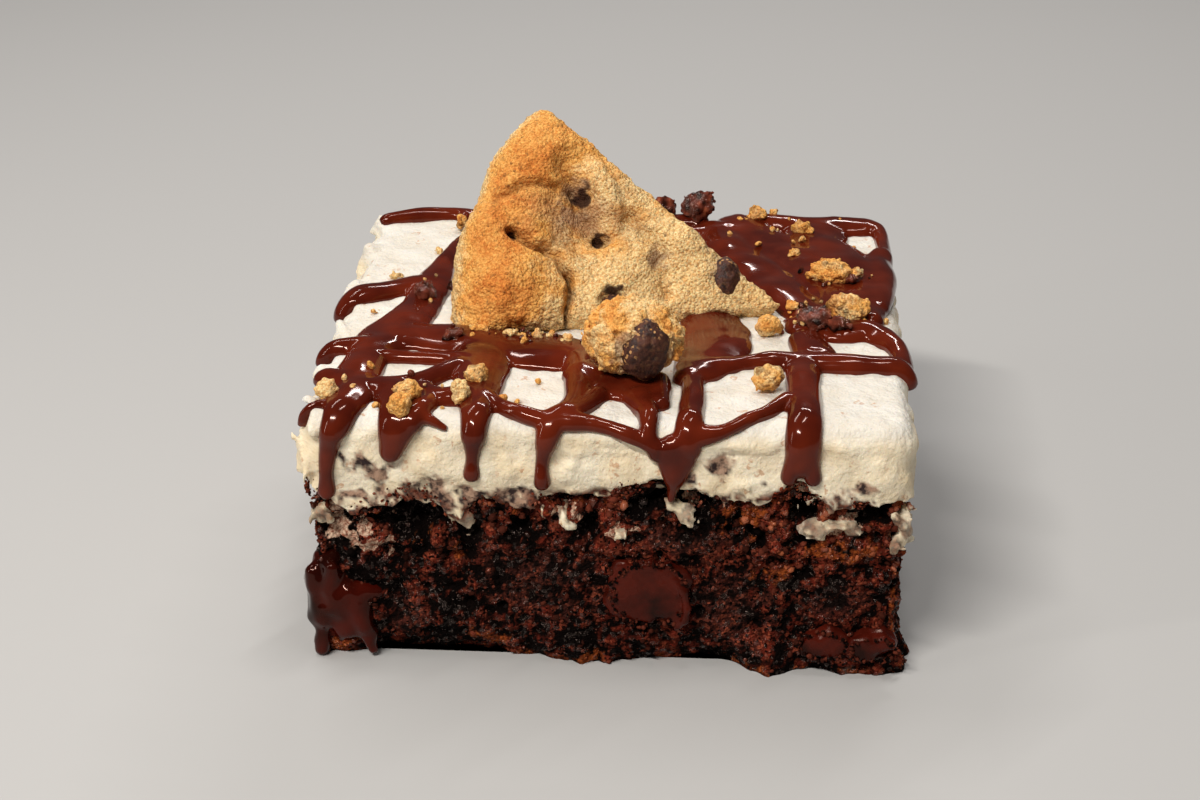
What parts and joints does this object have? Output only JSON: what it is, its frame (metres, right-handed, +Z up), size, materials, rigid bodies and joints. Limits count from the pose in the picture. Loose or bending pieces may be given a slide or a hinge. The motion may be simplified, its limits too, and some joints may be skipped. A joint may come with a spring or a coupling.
{
  "type": "chocolate brownie",
  "caption": "Square of chocolate brownie under thick buttercream icing, with chocolate drizzle, a leaning wedge of chocolate chip cookie, a broken piece of cookie and crumbs on top.",
  "frame": {"origin": "centre of the flat underside that the brownie rests on", "axes": "+Z up, -Y out of the cut front face that the picture shows, +X to the right of that face"},
  "size_m": [0.0821, 0.0805, 0.0632],
  "materials": {
    "brownie": "crumbly, matte, with moist patches",
    "icing": "smooth buttercream with a soft sheen, under glossy chocolate drizzle",
    "cookie": "baked, dry and grainy",
    "fudge": "glossy melted chocolate",
    "dark_chocolate": "satin dark chocolate"
  },
  "bodies": {
    "root": {"brownie": "brownie", "icing": "icing", "cookie_wedge": "cookie", "cookie_chunk": "cookie", "chip_wedge_tip": "dark_chocolate", "chip_wedge_low": "dark_chocolate", "chip_chunk": "dark_chocolate", "fudge_corner": "fudge", "fudge_lump_middle": "dark_chocolate", "fudge_lump_right": "dark_chocolate", "fudge_lump_far_right": "dark_chocolate"}
  },
  "joints": []
}
